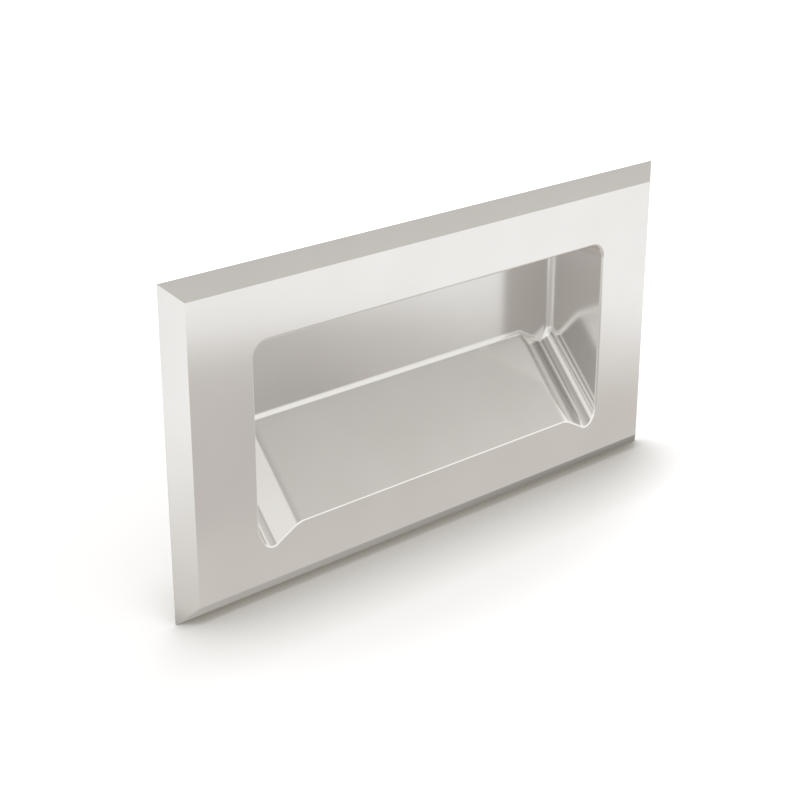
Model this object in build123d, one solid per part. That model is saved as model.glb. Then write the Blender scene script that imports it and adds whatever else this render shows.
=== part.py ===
from build123d import *
import os
from math import atan, cos, degrees, radians, sin, tan

# A recessed handle, cast in one piece: a bevelled plate, a finger recess with a ramp between two gutters,
# a lip to pull on and two tapped bosses behind.
# X points right, Y into the door and Z up. The origin is the middle of the plate's rear face.
# Lengths are in millimetres and angles in degrees.

# Plate
PLATE_WIDTH = 120.0
PLATE_HEIGHT = 62.0
PLATE_THICKNESS = 3.0
BEVEL_INSET = 3.2
EDGE_LAND = 0.2

# Mouth of the recess: its walls, measured from the plate's edges
SIDE_MARGIN = 16.5
TOP_MARGIN = 13.5
BOTTOM_MARGIN = 12.5
MOUTH_CORNER_RADIUS = 3.0
RIM_RADIUS = 0.5

# Recess floor: a ramp that rises to the back wall, with a gutter on each side
RECESS_DEPTH = 14.0
RAMP_ANGLE = 48.0
GUTTER_SPAN = 8.9
FLANK_ANGLE = 20.0
GUTTER_RADIUS = 3.0
RAMP_EDGE_RADIUS = 5.0
BACK_EDGE_RADIUS = 1.6

# Lip that the fingers pull on, and the pocket above and behind it
LIP_THICKNESS = 4.5
POCKET_HEIGHT = 4.0
POCKET_INSET = 2.5
LIP_RADIUS = 1.2

# Casting wall, and bosses that stand off from the recess's side walls
WALL = 2.0
ROOT_RADIUS = 1.0
BOSS_STANDOFF = 4.5
BOSS_DIAMETER = 8.0
BOSS_HEIGHT = 10.0
TAP_DIAMETER = 3.3
TAP_FLOOR = 5.0
DRILL_POINT_ANGLE = 118.0

# Places that follow from the sizes above
FRONT = -PLATE_THICKNESS
BACK = FRONT + RECESS_DEPTH
REAR = BACK + WALL
INSIDE_PLATE = FRONT / 2
HALF_WIDTH = PLATE_WIDTH / 2 - SIDE_MARGIN
MOUTH_TOP = PLATE_HEIGHT / 2 - TOP_MARGIN
POCKET_TOP = MOUTH_TOP + POCKET_HEIGHT
POCKET_FRONT = FRONT + LIP_THICKNESS
POCKET_HALF_WIDTH = HALF_WIDTH - MOUTH_CORNER_RADIUS - POCKET_INSET
RAMP_FRONT = BOTTOM_MARGIN - PLATE_HEIGHT / 2
BOSS_X = HALF_WIDTH + BOSS_STANDOFF
TAP_DEPTH = PLATE_THICKNESS + BOSS_HEIGHT - TAP_FLOOR
INWARD = Vector(0, 1, 0)
DOWN_THE_RAMP = Vector(0, -cos(radians(RAMP_ANGLE)), -sin(radians(RAMP_ANGLE)))
NEAR = 1e-4

# Fillets, kept smaller than the walls that they run along
FILLET_SHARE = 0.45
BACK_FILLET = min(BACK_EDGE_RADIUS, 2 * FILLET_SHARE * GUTTER_RADIUS, FILLET_SHARE * POCKET_HEIGHT)
LIP_FILLET = min(LIP_RADIUS, FILLET_SHARE * POCKET_HEIGHT)


def upright(depth):
    """The plane that faces the front of the handle, at a depth along Y."""
    return Plane.XZ.offset(-depth)


def at_depth(shape, depth):
    """The edges of a shape that lie in the upright plane at a depth."""
    return shape.edges().filter_by_position(Axis.Y, depth - NEAR, depth + NEAR)


def plate():
    """The plate, bevelled all round from a narrow land at its rear edge."""
    outline = Rectangle(PLATE_WIDTH, PLATE_HEIGHT)
    bevel_depth = PLATE_THICKNESS - EDGE_LAND
    bevel_angle = degrees(atan(BEVEL_INSET / bevel_depth))
    land = extrude(upright(0) * outline, EDGE_LAND)
    bevel = extrude(upright(-EDGE_LAND) * outline, bevel_depth, taper=bevel_angle)
    return land + bevel


def arch(half_width, top, corner_radius, start, end):
    """A block with rounded upper corners that runs from start to end in depth and far down below."""
    base = -PLATE_HEIGHT
    face = Pos(0, (top + base) / 2) * Rectangle(2 * half_width, top - base)
    face = fillet(face.vertices().group_by(Axis.Y)[-1], corner_radius)
    return extrude(upright(start) * face, end - start, dir=INWARD)


def over_the_floor(grow):
    """All the room above the ramp, flanks and gutters, or that room swollen by a wall of grow.

    Its section is drawn square to the ramp's rise, with the middle of the ramp's front edge at the origin.
    """
    side = HALF_WIDTH + grow
    ramp_corner = HALF_WIDTH - GUTTER_SPAN - grow * tan(radians(FLANK_ANGLE / 2))
    flank_span = side - ramp_corner
    flank_foot = -grow - flank_span * tan(radians(FLANK_ANGLE))
    corners = [
        (-side, PLATE_HEIGHT),
        (-side, flank_foot),
        (-ramp_corner, -grow),
        (ramp_corner, -grow),
        (side, flank_foot),
        (side, PLATE_HEIGHT),
    ]
    face = make_face(Polyline(*corners, close=True))
    face = fillet(face.vertices().group_by(Axis.Y)[1], RAMP_EDGE_RADIUS)
    face = fillet(face.vertices().group_by(Axis.Y)[0], GUTTER_RADIUS + grow)
    across_the_ramp = Plane((0, FRONT, RAMP_FRONT), x_dir=(1, 0, 0), z_dir=DOWN_THE_RAMP)
    return extrude(across_the_ramp * face, PLATE_HEIGHT, both=True)


def recess():
    """The hollow of the recess and the pocket behind its lip, from before the plate to the back wall."""
    mouth = arch(HALF_WIDTH, MOUTH_TOP, MOUTH_CORNER_RADIUS, FRONT - PLATE_THICKNESS, BACK)
    pocket = arch(POCKET_HALF_WIDTH, POCKET_TOP, BACK_FILLET, POCKET_FRONT, BACK)
    pocket = fillet(at_depth(pocket, POCKET_FRONT), BACK_FILLET)
    hollow = (mouth + pocket) & over_the_floor(0)
    lip_edges = hollow.edges().filter_by_position(Axis.Z, MOUTH_TOP - NEAR, MOUTH_TOP + NEAR)
    lip_edges = lip_edges.filter_by_position(Axis.X, -POCKET_HALF_WIDTH - NEAR, POCKET_HALF_WIDTH + NEAR)
    lip_edges = lip_edges.filter_by_position(Axis.Y, POCKET_FRONT - NEAR, BACK - NEAR)
    hollow = fillet(lip_edges, LIP_FILLET)
    return fillet(at_depth(hollow, BACK), BACK_FILLET)


def tub():
    """The outside of the casting behind the plate, one wall out from the recess."""
    shell = arch(HALF_WIDTH + WALL, POCKET_TOP + WALL, MOUTH_CORNER_RADIUS + WALL, INSIDE_PLATE, REAR)
    shell = shell & over_the_floor(WALL)
    return fillet(at_depth(shell, REAR), BACK_FILLET + WALL)


def boss(side):
    """The boss on one side, round at its outer end and flat where it runs into the tub."""
    web_span = BOSS_STANDOFF - WALL / 2
    web = Pos(side * (BOSS_X - web_span / 2), 0) * Rectangle(web_span, BOSS_DIAMETER)
    section = web + Pos(side * BOSS_X, 0) * Circle(BOSS_DIAMETER / 2)
    return extrude(upright(INSIDE_PLATE) * section, BOSS_HEIGHT - INSIDE_PLATE, dir=INWARD)


def tapped_hole(side):
    """The blind hole for a screw in one boss, with the point that the drill leaves."""
    radius = TAP_DIAMETER / 2
    point = radius / tan(radians(DRILL_POINT_ANGLE / 2))
    below = (Align.CENTER, Align.CENTER, Align.MAX)
    drill_point = Pos(0, 0, -TAP_DEPTH) * Cone(0, radius, point, align=below)
    hole = Cylinder(radius, TAP_DEPTH, align=below) + drill_point
    return Plane((side * BOSS_X, BOSS_HEIGHT, 0), z_dir=INWARD) * hole


def handle_body():
    """The whole casting."""
    body = plate() + tub() + boss(-1) + boss(1)
    rear_face = body.faces().filter_by(Axis.Y).filter_by_position(Axis.Y, -NEAR, NEAR)[0]
    body = fillet(rear_face.inner_wires().edges(), ROOT_RADIUS)
    body = body - recess() - tapped_hole(-1) - tapped_hole(1)
    front_face = body.faces().filter_by(Axis.Y).sort_by(Axis.Y)[0]
    return fillet(front_face.inner_wires().edges(), RIM_RADIUS)


os.makedirs("parts", exist_ok=True)
export_step(handle_body(), "parts/handle_body.step")
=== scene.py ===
import math

import bpy
from mathutils import Matrix, Vector


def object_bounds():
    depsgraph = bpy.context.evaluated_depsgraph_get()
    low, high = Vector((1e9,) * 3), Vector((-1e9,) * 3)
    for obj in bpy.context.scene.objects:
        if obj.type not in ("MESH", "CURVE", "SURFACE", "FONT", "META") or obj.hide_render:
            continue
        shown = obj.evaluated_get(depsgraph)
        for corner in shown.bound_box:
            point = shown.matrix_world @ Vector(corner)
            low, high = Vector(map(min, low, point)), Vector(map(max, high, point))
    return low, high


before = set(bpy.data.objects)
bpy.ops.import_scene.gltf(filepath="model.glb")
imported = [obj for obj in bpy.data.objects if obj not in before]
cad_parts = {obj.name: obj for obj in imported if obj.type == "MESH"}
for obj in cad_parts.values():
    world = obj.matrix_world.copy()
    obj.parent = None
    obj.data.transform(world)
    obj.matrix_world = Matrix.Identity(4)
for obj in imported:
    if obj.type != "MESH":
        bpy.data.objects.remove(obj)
cad_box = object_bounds()

# Camera: lens and sensor in millimetres, place and reach in metres, and angles in degrees
LENS = 75.2
SENSOR = 36.0
CAMERA_PLACE = (-0.19905, -0.21469, 0.11534)
CAMERA_REACH = (0.01, 20.0)
CAMERA_AZIMUTH = -41.66
CAMERA_ELEVATION = 22.40
CAMERA_ROLL = 0.10

# Studio dome that the steel mirrors: white walls, grey on the left, up to the edge of a warm grey ceiling
# that darkens to the left and whose axis leans back by some degrees. For a direction of length one, heights
# are measured along that axis and widths along X.
WHITE = (1.0, 1.0, 1.0, 1.0)
WALL = (1.108, 1.102, 1.055, 1.0)
LEFT_WALL = (0.805, 0.787, 0.759, 1.0)
LEFT_WALL_WIDTHS = (-0.75, -0.45)
CEILING_LEFT = (0.467, 0.450, 0.432, 1.0)
CEILING_RIGHT = (0.661, 0.636, 0.607, 1.0)
CEILING_WIDTHS = (-0.12, 0.57)
CEILING_LEAN = 30.0
CEILING_HEIGHTS = (0.19, 0.26)

# Light on the floor from all round, and two softboxes that face down: place and size in metres, and radiance.
# The first lights the floor, and the second is only mirrored in the steel.
AMBIENT = 0.635
TOP_LIGHT = {"place": (0.0, 0.092, 0.8), "size": (0.43, 0.30), "radiance": 8.54, "mirrored": False}
SIDE_LIGHT = {"place": (-0.0807, -0.0724, 0.085), "size": (0.105, 0.080), "radiance": 0.448, "mirrored": True}

# Floor: white to the eye, with a faint warm glow in the handle's shadow. That glow is painted light, and
# where it turns white its ellipse paints how far the shadow reaches. The steel mirrors a painted reflection,
# a glow that is white far out, grey in a patch round the handle, darker in a spot before it with a core, and
# darkest along its foot, where it is a painted contact shadow. Each is an ellipse: its centre and reach in
# metres, and the shares of the reach between which it fades.
FLOOR_RADIUS = 3.0
FLOOR_SIDES = 96
FLOOR_COLOUR = (0.880, 0.885, 0.905, 1.0)
SHADOW_GLOW = (0.131, 0.112, 0.074, 1.0)
WHITE_GLOW = (1.023, 1.018, 1.013, 1.0)
PATCH_GLOW = (0.668, 0.635, 0.600, 1.0)
SPOT_GLOW = (0.615, 0.583, 0.559, 1.0)
CORE_GLOW = (0.521, 0.498, 0.473, 1.0)
CONTACT_SHADOW_GLOW = (0.081, 0.076, 0.067, 1.0)
SHADOW = {"centre": (-0.0192, 0.0457, 0.0), "reach": (0.1658, 0.1343, 1.0), "fade": (0.527, 1.0)}
PATCH = {"centre": (0.0148, 0.0204, 0.0), "reach": (0.1538, 0.1497, 1.0), "fade": (0.420, 1.0)}
SPOT = {"centre": (-0.0178, -0.0750, 0.0), "reach": (0.1119, 0.0641, 1.0), "fade": (0.474, 1.0)}
CORE = {"centre": (0.0180, -0.0460, 0.0), "reach": (0.0320, 0.0270, 1.0), "fade": (0.05, 1.0)}
# The foot ellipse is a painted contact shadow in the glow that only the steel mirrors
CONTACT_SHADOW = {"centre": (0.0493, 0.0, 0.0), "reach": (0.2500, 0.0074, 1.0), "fade": (-0.5, 1.0)}

# Satin stainless steel with its cloudy tint, and painted shade that darkens it from the front face down to
# the recess's back wall. Depths are in metres and scales in repeats per metre.
STEEL = (0.862, 0.854, 0.840, 1.0)
# Painted shade: the steel's colour down at the recess's back wall and everything behind it
RECESS_SHADED_STEEL = (0.767, 0.760, 0.746, 1.0)
TUB_WALL = 0.002
RECESS_DEPTHS = (cad_box[0].y, cad_box[1].y - TUB_WALL)
CLOUD_SCALE = 80.0
CLOUD_DETAIL = 4.0
CLOUD_TINT = (0.930, 0.924, 0.916, 1.0)

# Grain of the finish, drawn out along the handle
GRAIN_SCALE = (160.0, 5200.0, 5200.0)
GRAIN_DETAIL = 3.0
GRAIN_ROUGHNESS = (0.140, 0.170)
GRAIN_HEIGHT = 3e-7

# Times that light is followed from one face of the steel to the next
BOUNCES = 16


def add(tree, kind, inputs=None, **settings):
    """A new node with some of its inputs and settings filled in."""
    node = tree.nodes.new(kind)
    for name, value in settings.items():
        setattr(node, name, value)
    for key, value in (inputs or {}).items():
        node.inputs[key].default_value = value
    return node


def new_material(name):
    """An empty node material, its tree and its output node."""
    material = bpy.data.materials.new(name)
    material.use_nodes = True
    material.node_tree.nodes.clear()
    return material, material.node_tree, add(material.node_tree, "ShaderNodeOutputMaterial")


def colour_mix(tree, first, second, blend="MIX"):
    """A node that mixes two colours: its factor, first, second and result sockets."""
    node = add(tree, "ShaderNodeMix", data_type="RGBA", blend_type=blend)
    sockets = [s for s in node.inputs if s.enabled]
    sockets[1].default_value = first
    sockets[2].default_value = second
    result = next(s for s in node.outputs if s.enabled)
    return sockets[0], sockets[1], sockets[2], result


def fade(tree, between, interpolation="SMOOTHSTEP"):
    """A node that turns a value into a share, from 0 at the first of two values to 1 at the second."""
    low, high = between
    return add(
        tree, "ShaderNodeMapRange", {"From Min": low, "From Max": high}, interpolation_type=interpolation
    )


def outside(tree, place, area):
    """A socket that goes from 0 inside an ellipse to 1 outside it."""
    frame_of_area = {"Location": area["centre"], "Scale": area["reach"]}
    across = add(tree, "ShaderNodeMapping", frame_of_area, vector_type="TEXTURE")
    distance = add(tree, "ShaderNodeVectorMath", operation="LENGTH")
    share = fade(tree, area["fade"])
    tree.links.new(place.outputs["Object"], across.inputs["Vector"])
    tree.links.new(across.outputs[0], distance.inputs[0])
    tree.links.new(distance.outputs["Value"], share.inputs["Value"])
    return share.outputs["Result"]


def mirrored_share(tree, path):
    """A socket that is 1 for what a mirror or glass shows, and 0 otherwise."""
    share = add(tree, "ShaderNodeMath", operation="MAXIMUM")
    tree.links.new(path.outputs["Is Glossy Ray"], share.inputs[0])
    tree.links.new(path.outputs["Is Transmission Ray"], share.inputs[1])
    return share.outputs[0]


def camera():
    """The camera, at the photograph's place and angle."""
    azimuth, elevation, roll = map(math.radians, (CAMERA_AZIMUTH, CAMERA_ELEVATION, CAMERA_ROLL))
    flat = math.cos(elevation)
    back = Vector((math.sin(azimuth) * flat, -math.cos(azimuth) * flat, math.sin(elevation)))
    level_right = Vector((math.cos(azimuth), math.sin(azimuth), 0.0))
    level_up = back.cross(level_right)
    right = math.cos(roll) * level_right + math.sin(roll) * level_up
    up = math.cos(roll) * level_up - math.sin(roll) * level_right
    data = bpy.data.cameras.new("camera")
    data.lens = LENS
    data.sensor_width = SENSOR
    data.clip_start, data.clip_end = CAMERA_REACH
    item = bpy.data.objects.new("camera", data)
    turn = Matrix((right, up, back)).transposed()
    item.matrix_world = Matrix.Translation(CAMERA_PLACE) @ turn.to_4x4()
    bpy.context.scene.collection.objects.link(item)
    bpy.context.scene.camera = item


def dome():
    """The world: white behind the handle, a dome in the steel and an even light on the rest."""
    world = bpy.data.worlds.new("studio")
    world.use_nodes = True
    tree = world.node_tree
    tree.nodes.clear()
    link = tree.links.new
    output = add(tree, "ShaderNodeOutputWorld")
    path = add(tree, "ShaderNodeLightPath")
    direction = add(tree, "ShaderNodeTexCoord")
    split = add(tree, "ShaderNodeSeparateXYZ")
    lean = math.radians(CEILING_LEAN)
    axis = (0.0, math.sin(lean), math.cos(lean))
    along = add(tree, "ShaderNodeVectorMath", {1: axis}, operation="DOT_PRODUCT")
    height = fade(tree, CEILING_HEIGHTS)
    across = fade(tree, CEILING_WIDTHS, "LINEAR")
    wall_across = fade(tree, LEFT_WALL_WIDTHS)
    wall_share, _, _, wall = colour_mix(tree, LEFT_WALL, WALL)
    ceiling_share, _, _, ceiling = colour_mix(tree, CEILING_LEFT, CEILING_RIGHT)
    share, lower, upper, colour = colour_mix(tree, WHITE, WHITE)
    sky = add(tree, "ShaderNodeBackground")
    ambient = add(tree, "ShaderNodeBackground", {"Color": WHITE, "Strength": AMBIENT})
    backdrop = add(tree, "ShaderNodeBackground", {"Color": WHITE})
    lit = add(tree, "ShaderNodeMixShader")
    seen = add(tree, "ShaderNodeMixShader")
    link(direction.outputs["Generated"], split.inputs[0])
    link(split.outputs["X"], wall_across.inputs["Value"])
    link(split.outputs["X"], across.inputs["Value"])
    link(direction.outputs["Generated"], along.inputs[0])
    link(along.outputs["Value"], height.inputs["Value"])
    link(wall_across.outputs["Result"], wall_share)
    link(across.outputs["Result"], ceiling_share)
    link(height.outputs["Result"], share)
    link(wall, lower)
    link(ceiling, upper)
    link(colour, sky.inputs["Color"])
    link(mirrored_share(tree, path), lit.inputs["Fac"])
    link(ambient.outputs[0], lit.inputs[1])
    link(sky.outputs[0], lit.inputs[2])
    link(path.outputs["Is Camera Ray"], seen.inputs["Fac"])
    link(lit.outputs[0], seen.inputs[1])
    link(backdrop.outputs[0], seen.inputs[2])
    link(seen.outputs[0], output.inputs["Surface"])
    bpy.context.scene.world = world


def softbox(name, place, size, radiance, mirrored):
    """A rectangular area light that faces down, for the floor or for the steel to mirror."""
    data = bpy.data.lights.new(name, "AREA")
    data.shape = "RECTANGLE"
    data.size, data.size_y = size
    data.energy = math.pi * size[0] * size[1] * radiance
    item = bpy.data.objects.new(name, data)
    item.location = place
    item.visible_camera = False
    item.visible_diffuse = not mirrored
    item.visible_glossy = mirrored
    bpy.context.scene.collection.objects.link(item)


def floor_material():
    """White with the handle's shadow and a painted glow to the eye, and a painted reflection to the steel."""
    material, tree, output = new_material("floor_white")
    link = tree.links.new
    path = add(tree, "ShaderNodeLightPath")
    place = add(tree, "ShaderNodeTexCoord")
    white = add(tree, "ShaderNodeBsdfDiffuse", {"Color": FLOOR_COLOUR})
    # Painted light for the camera: a faint warm glow in the shadow, white outside the shadow's ellipse
    clear_share, _, _, shaded = colour_mix(tree, SHADOW_GLOW, WHITE)
    glow = add(tree, "ShaderNodeEmission")
    lit = add(tree, "ShaderNodeAddShader")
    link(outside(tree, place, SHADOW), clear_share)
    link(shaded, glow.inputs["Color"])
    link(path.outputs["Is Camera Ray"], glow.inputs["Strength"])
    link(white.outputs[0], lit.inputs[0])
    link(glow.outputs[0], lit.inputs[1])

    # Painted reflection for the steel: grey patch, darker spot and core, and a painted contact shadow at the
    # foot
    patch_share, _, _, patched = colour_mix(tree, PATCH_GLOW, WHITE_GLOW)
    spot_share, _, beside_spot, spotted = colour_mix(tree, SPOT_GLOW, PATCH_GLOW)
    core_share, _, beside_core, cored = colour_mix(tree, CORE_GLOW, PATCH_GLOW)
    contact_shadow_share, _, beside_contact_shadow, contact_shadowed = colour_mix(tree, CONTACT_SHADOW_GLOW, PATCH_GLOW)
    mirrored = add(tree, "ShaderNodeEmission")
    link(outside(tree, place, PATCH), patch_share)
    link(outside(tree, place, SPOT), spot_share)
    link(outside(tree, place, CORE), core_share)
    link(outside(tree, place, CONTACT_SHADOW), contact_shadow_share)
    link(patched, beside_spot)
    link(spotted, beside_core)
    link(cored, beside_contact_shadow)
    link(contact_shadowed, mirrored.inputs["Color"])

    choice = add(tree, "ShaderNodeMixShader")
    link(mirrored_share(tree, path), choice.inputs["Fac"])
    link(lit.outputs[0], choice.inputs[1])
    link(mirrored.outputs[0], choice.inputs[2])
    link(choice.outputs[0], output.inputs["Surface"])
    return material


def floor():
    """A round floor under the handle."""
    bpy.ops.mesh.primitive_circle_add(
        vertices=FLOOR_SIDES, radius=FLOOR_RADIUS, fill_type="NGON", location=(0, 0, cad_box[0].z)
    )
    item = bpy.context.object
    item.name = "floor"
    item.data.materials.append(floor_material())


def satin_steel():
    """Satin stainless steel, faintly cloudy, with painted shade in the recess and a fine grain along the
    handle.
    """
    material, tree, output = new_material("satin_stainless")
    link = tree.links.new
    surface = add(tree, "ShaderNodeBsdfPrincipled", {"Metallic": 1.0})
    place = add(tree, "ShaderNodeTexCoord")
    link(surface.outputs[0], output.inputs["Surface"])

    # Painted shade: the colour darkens with depth from the front face to the recess's back wall and stays
    # dark behind
    split = add(tree, "ShaderNodeSeparateXYZ")
    depth = fade(tree, RECESS_DEPTHS, "LINEAR")
    depth_share, _, _, steel = colour_mix(tree, STEEL, RECESS_SHADED_STEEL)
    clouds = add(tree, "ShaderNodeTexNoise", {"Scale": CLOUD_SCALE, "Detail": CLOUD_DETAIL})
    cover, clear, _, clouded = colour_mix(tree, STEEL, CLOUD_TINT, blend="MULTIPLY")
    link(place.outputs["Object"], split.inputs[0])
    link(split.outputs["Y"], depth.inputs["Value"])
    link(depth.outputs["Result"], depth_share)
    link(steel, clear)
    link(place.outputs["Object"], clouds.inputs["Vector"])
    link(clouds.outputs["Fac"], cover)
    link(clouded, surface.inputs["Base Color"])

    drawn_out = add(tree, "ShaderNodeMapping", {"Scale": GRAIN_SCALE})
    grain = add(tree, "ShaderNodeTexNoise", {"Scale": 1.0, "Detail": GRAIN_DETAIL})
    smooth, rough = GRAIN_ROUGHNESS
    roughness = add(tree, "ShaderNodeMapRange", {"To Min": smooth, "To Max": rough})
    relief = add(tree, "ShaderNodeBump", {"Distance": GRAIN_HEIGHT})
    link(place.outputs["Object"], drawn_out.inputs["Vector"])
    link(drawn_out.outputs[0], grain.inputs["Vector"])
    link(grain.outputs["Fac"], roughness.inputs["Value"])
    link(roughness.outputs["Result"], surface.inputs["Roughness"])
    link(grain.outputs["Fac"], relief.inputs["Height"])
    link(relief.outputs[0], surface.inputs["Normal"])
    return material


camera()
dome()
softbox("top_light", **TOP_LIGHT)
softbox("side_light", **SIDE_LIGHT)
floor()
bpy.context.scene.cycles.caustics_reflective = False
bpy.context.scene.cycles.max_bounces = BOUNCES
bpy.context.scene.cycles.glossy_bounces = BOUNCES
bpy.context.scene.view_settings.view_transform = "Standard"

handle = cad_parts["handle_body"]
handle.data.materials.clear()
handle.data.materials.append(satin_steel())
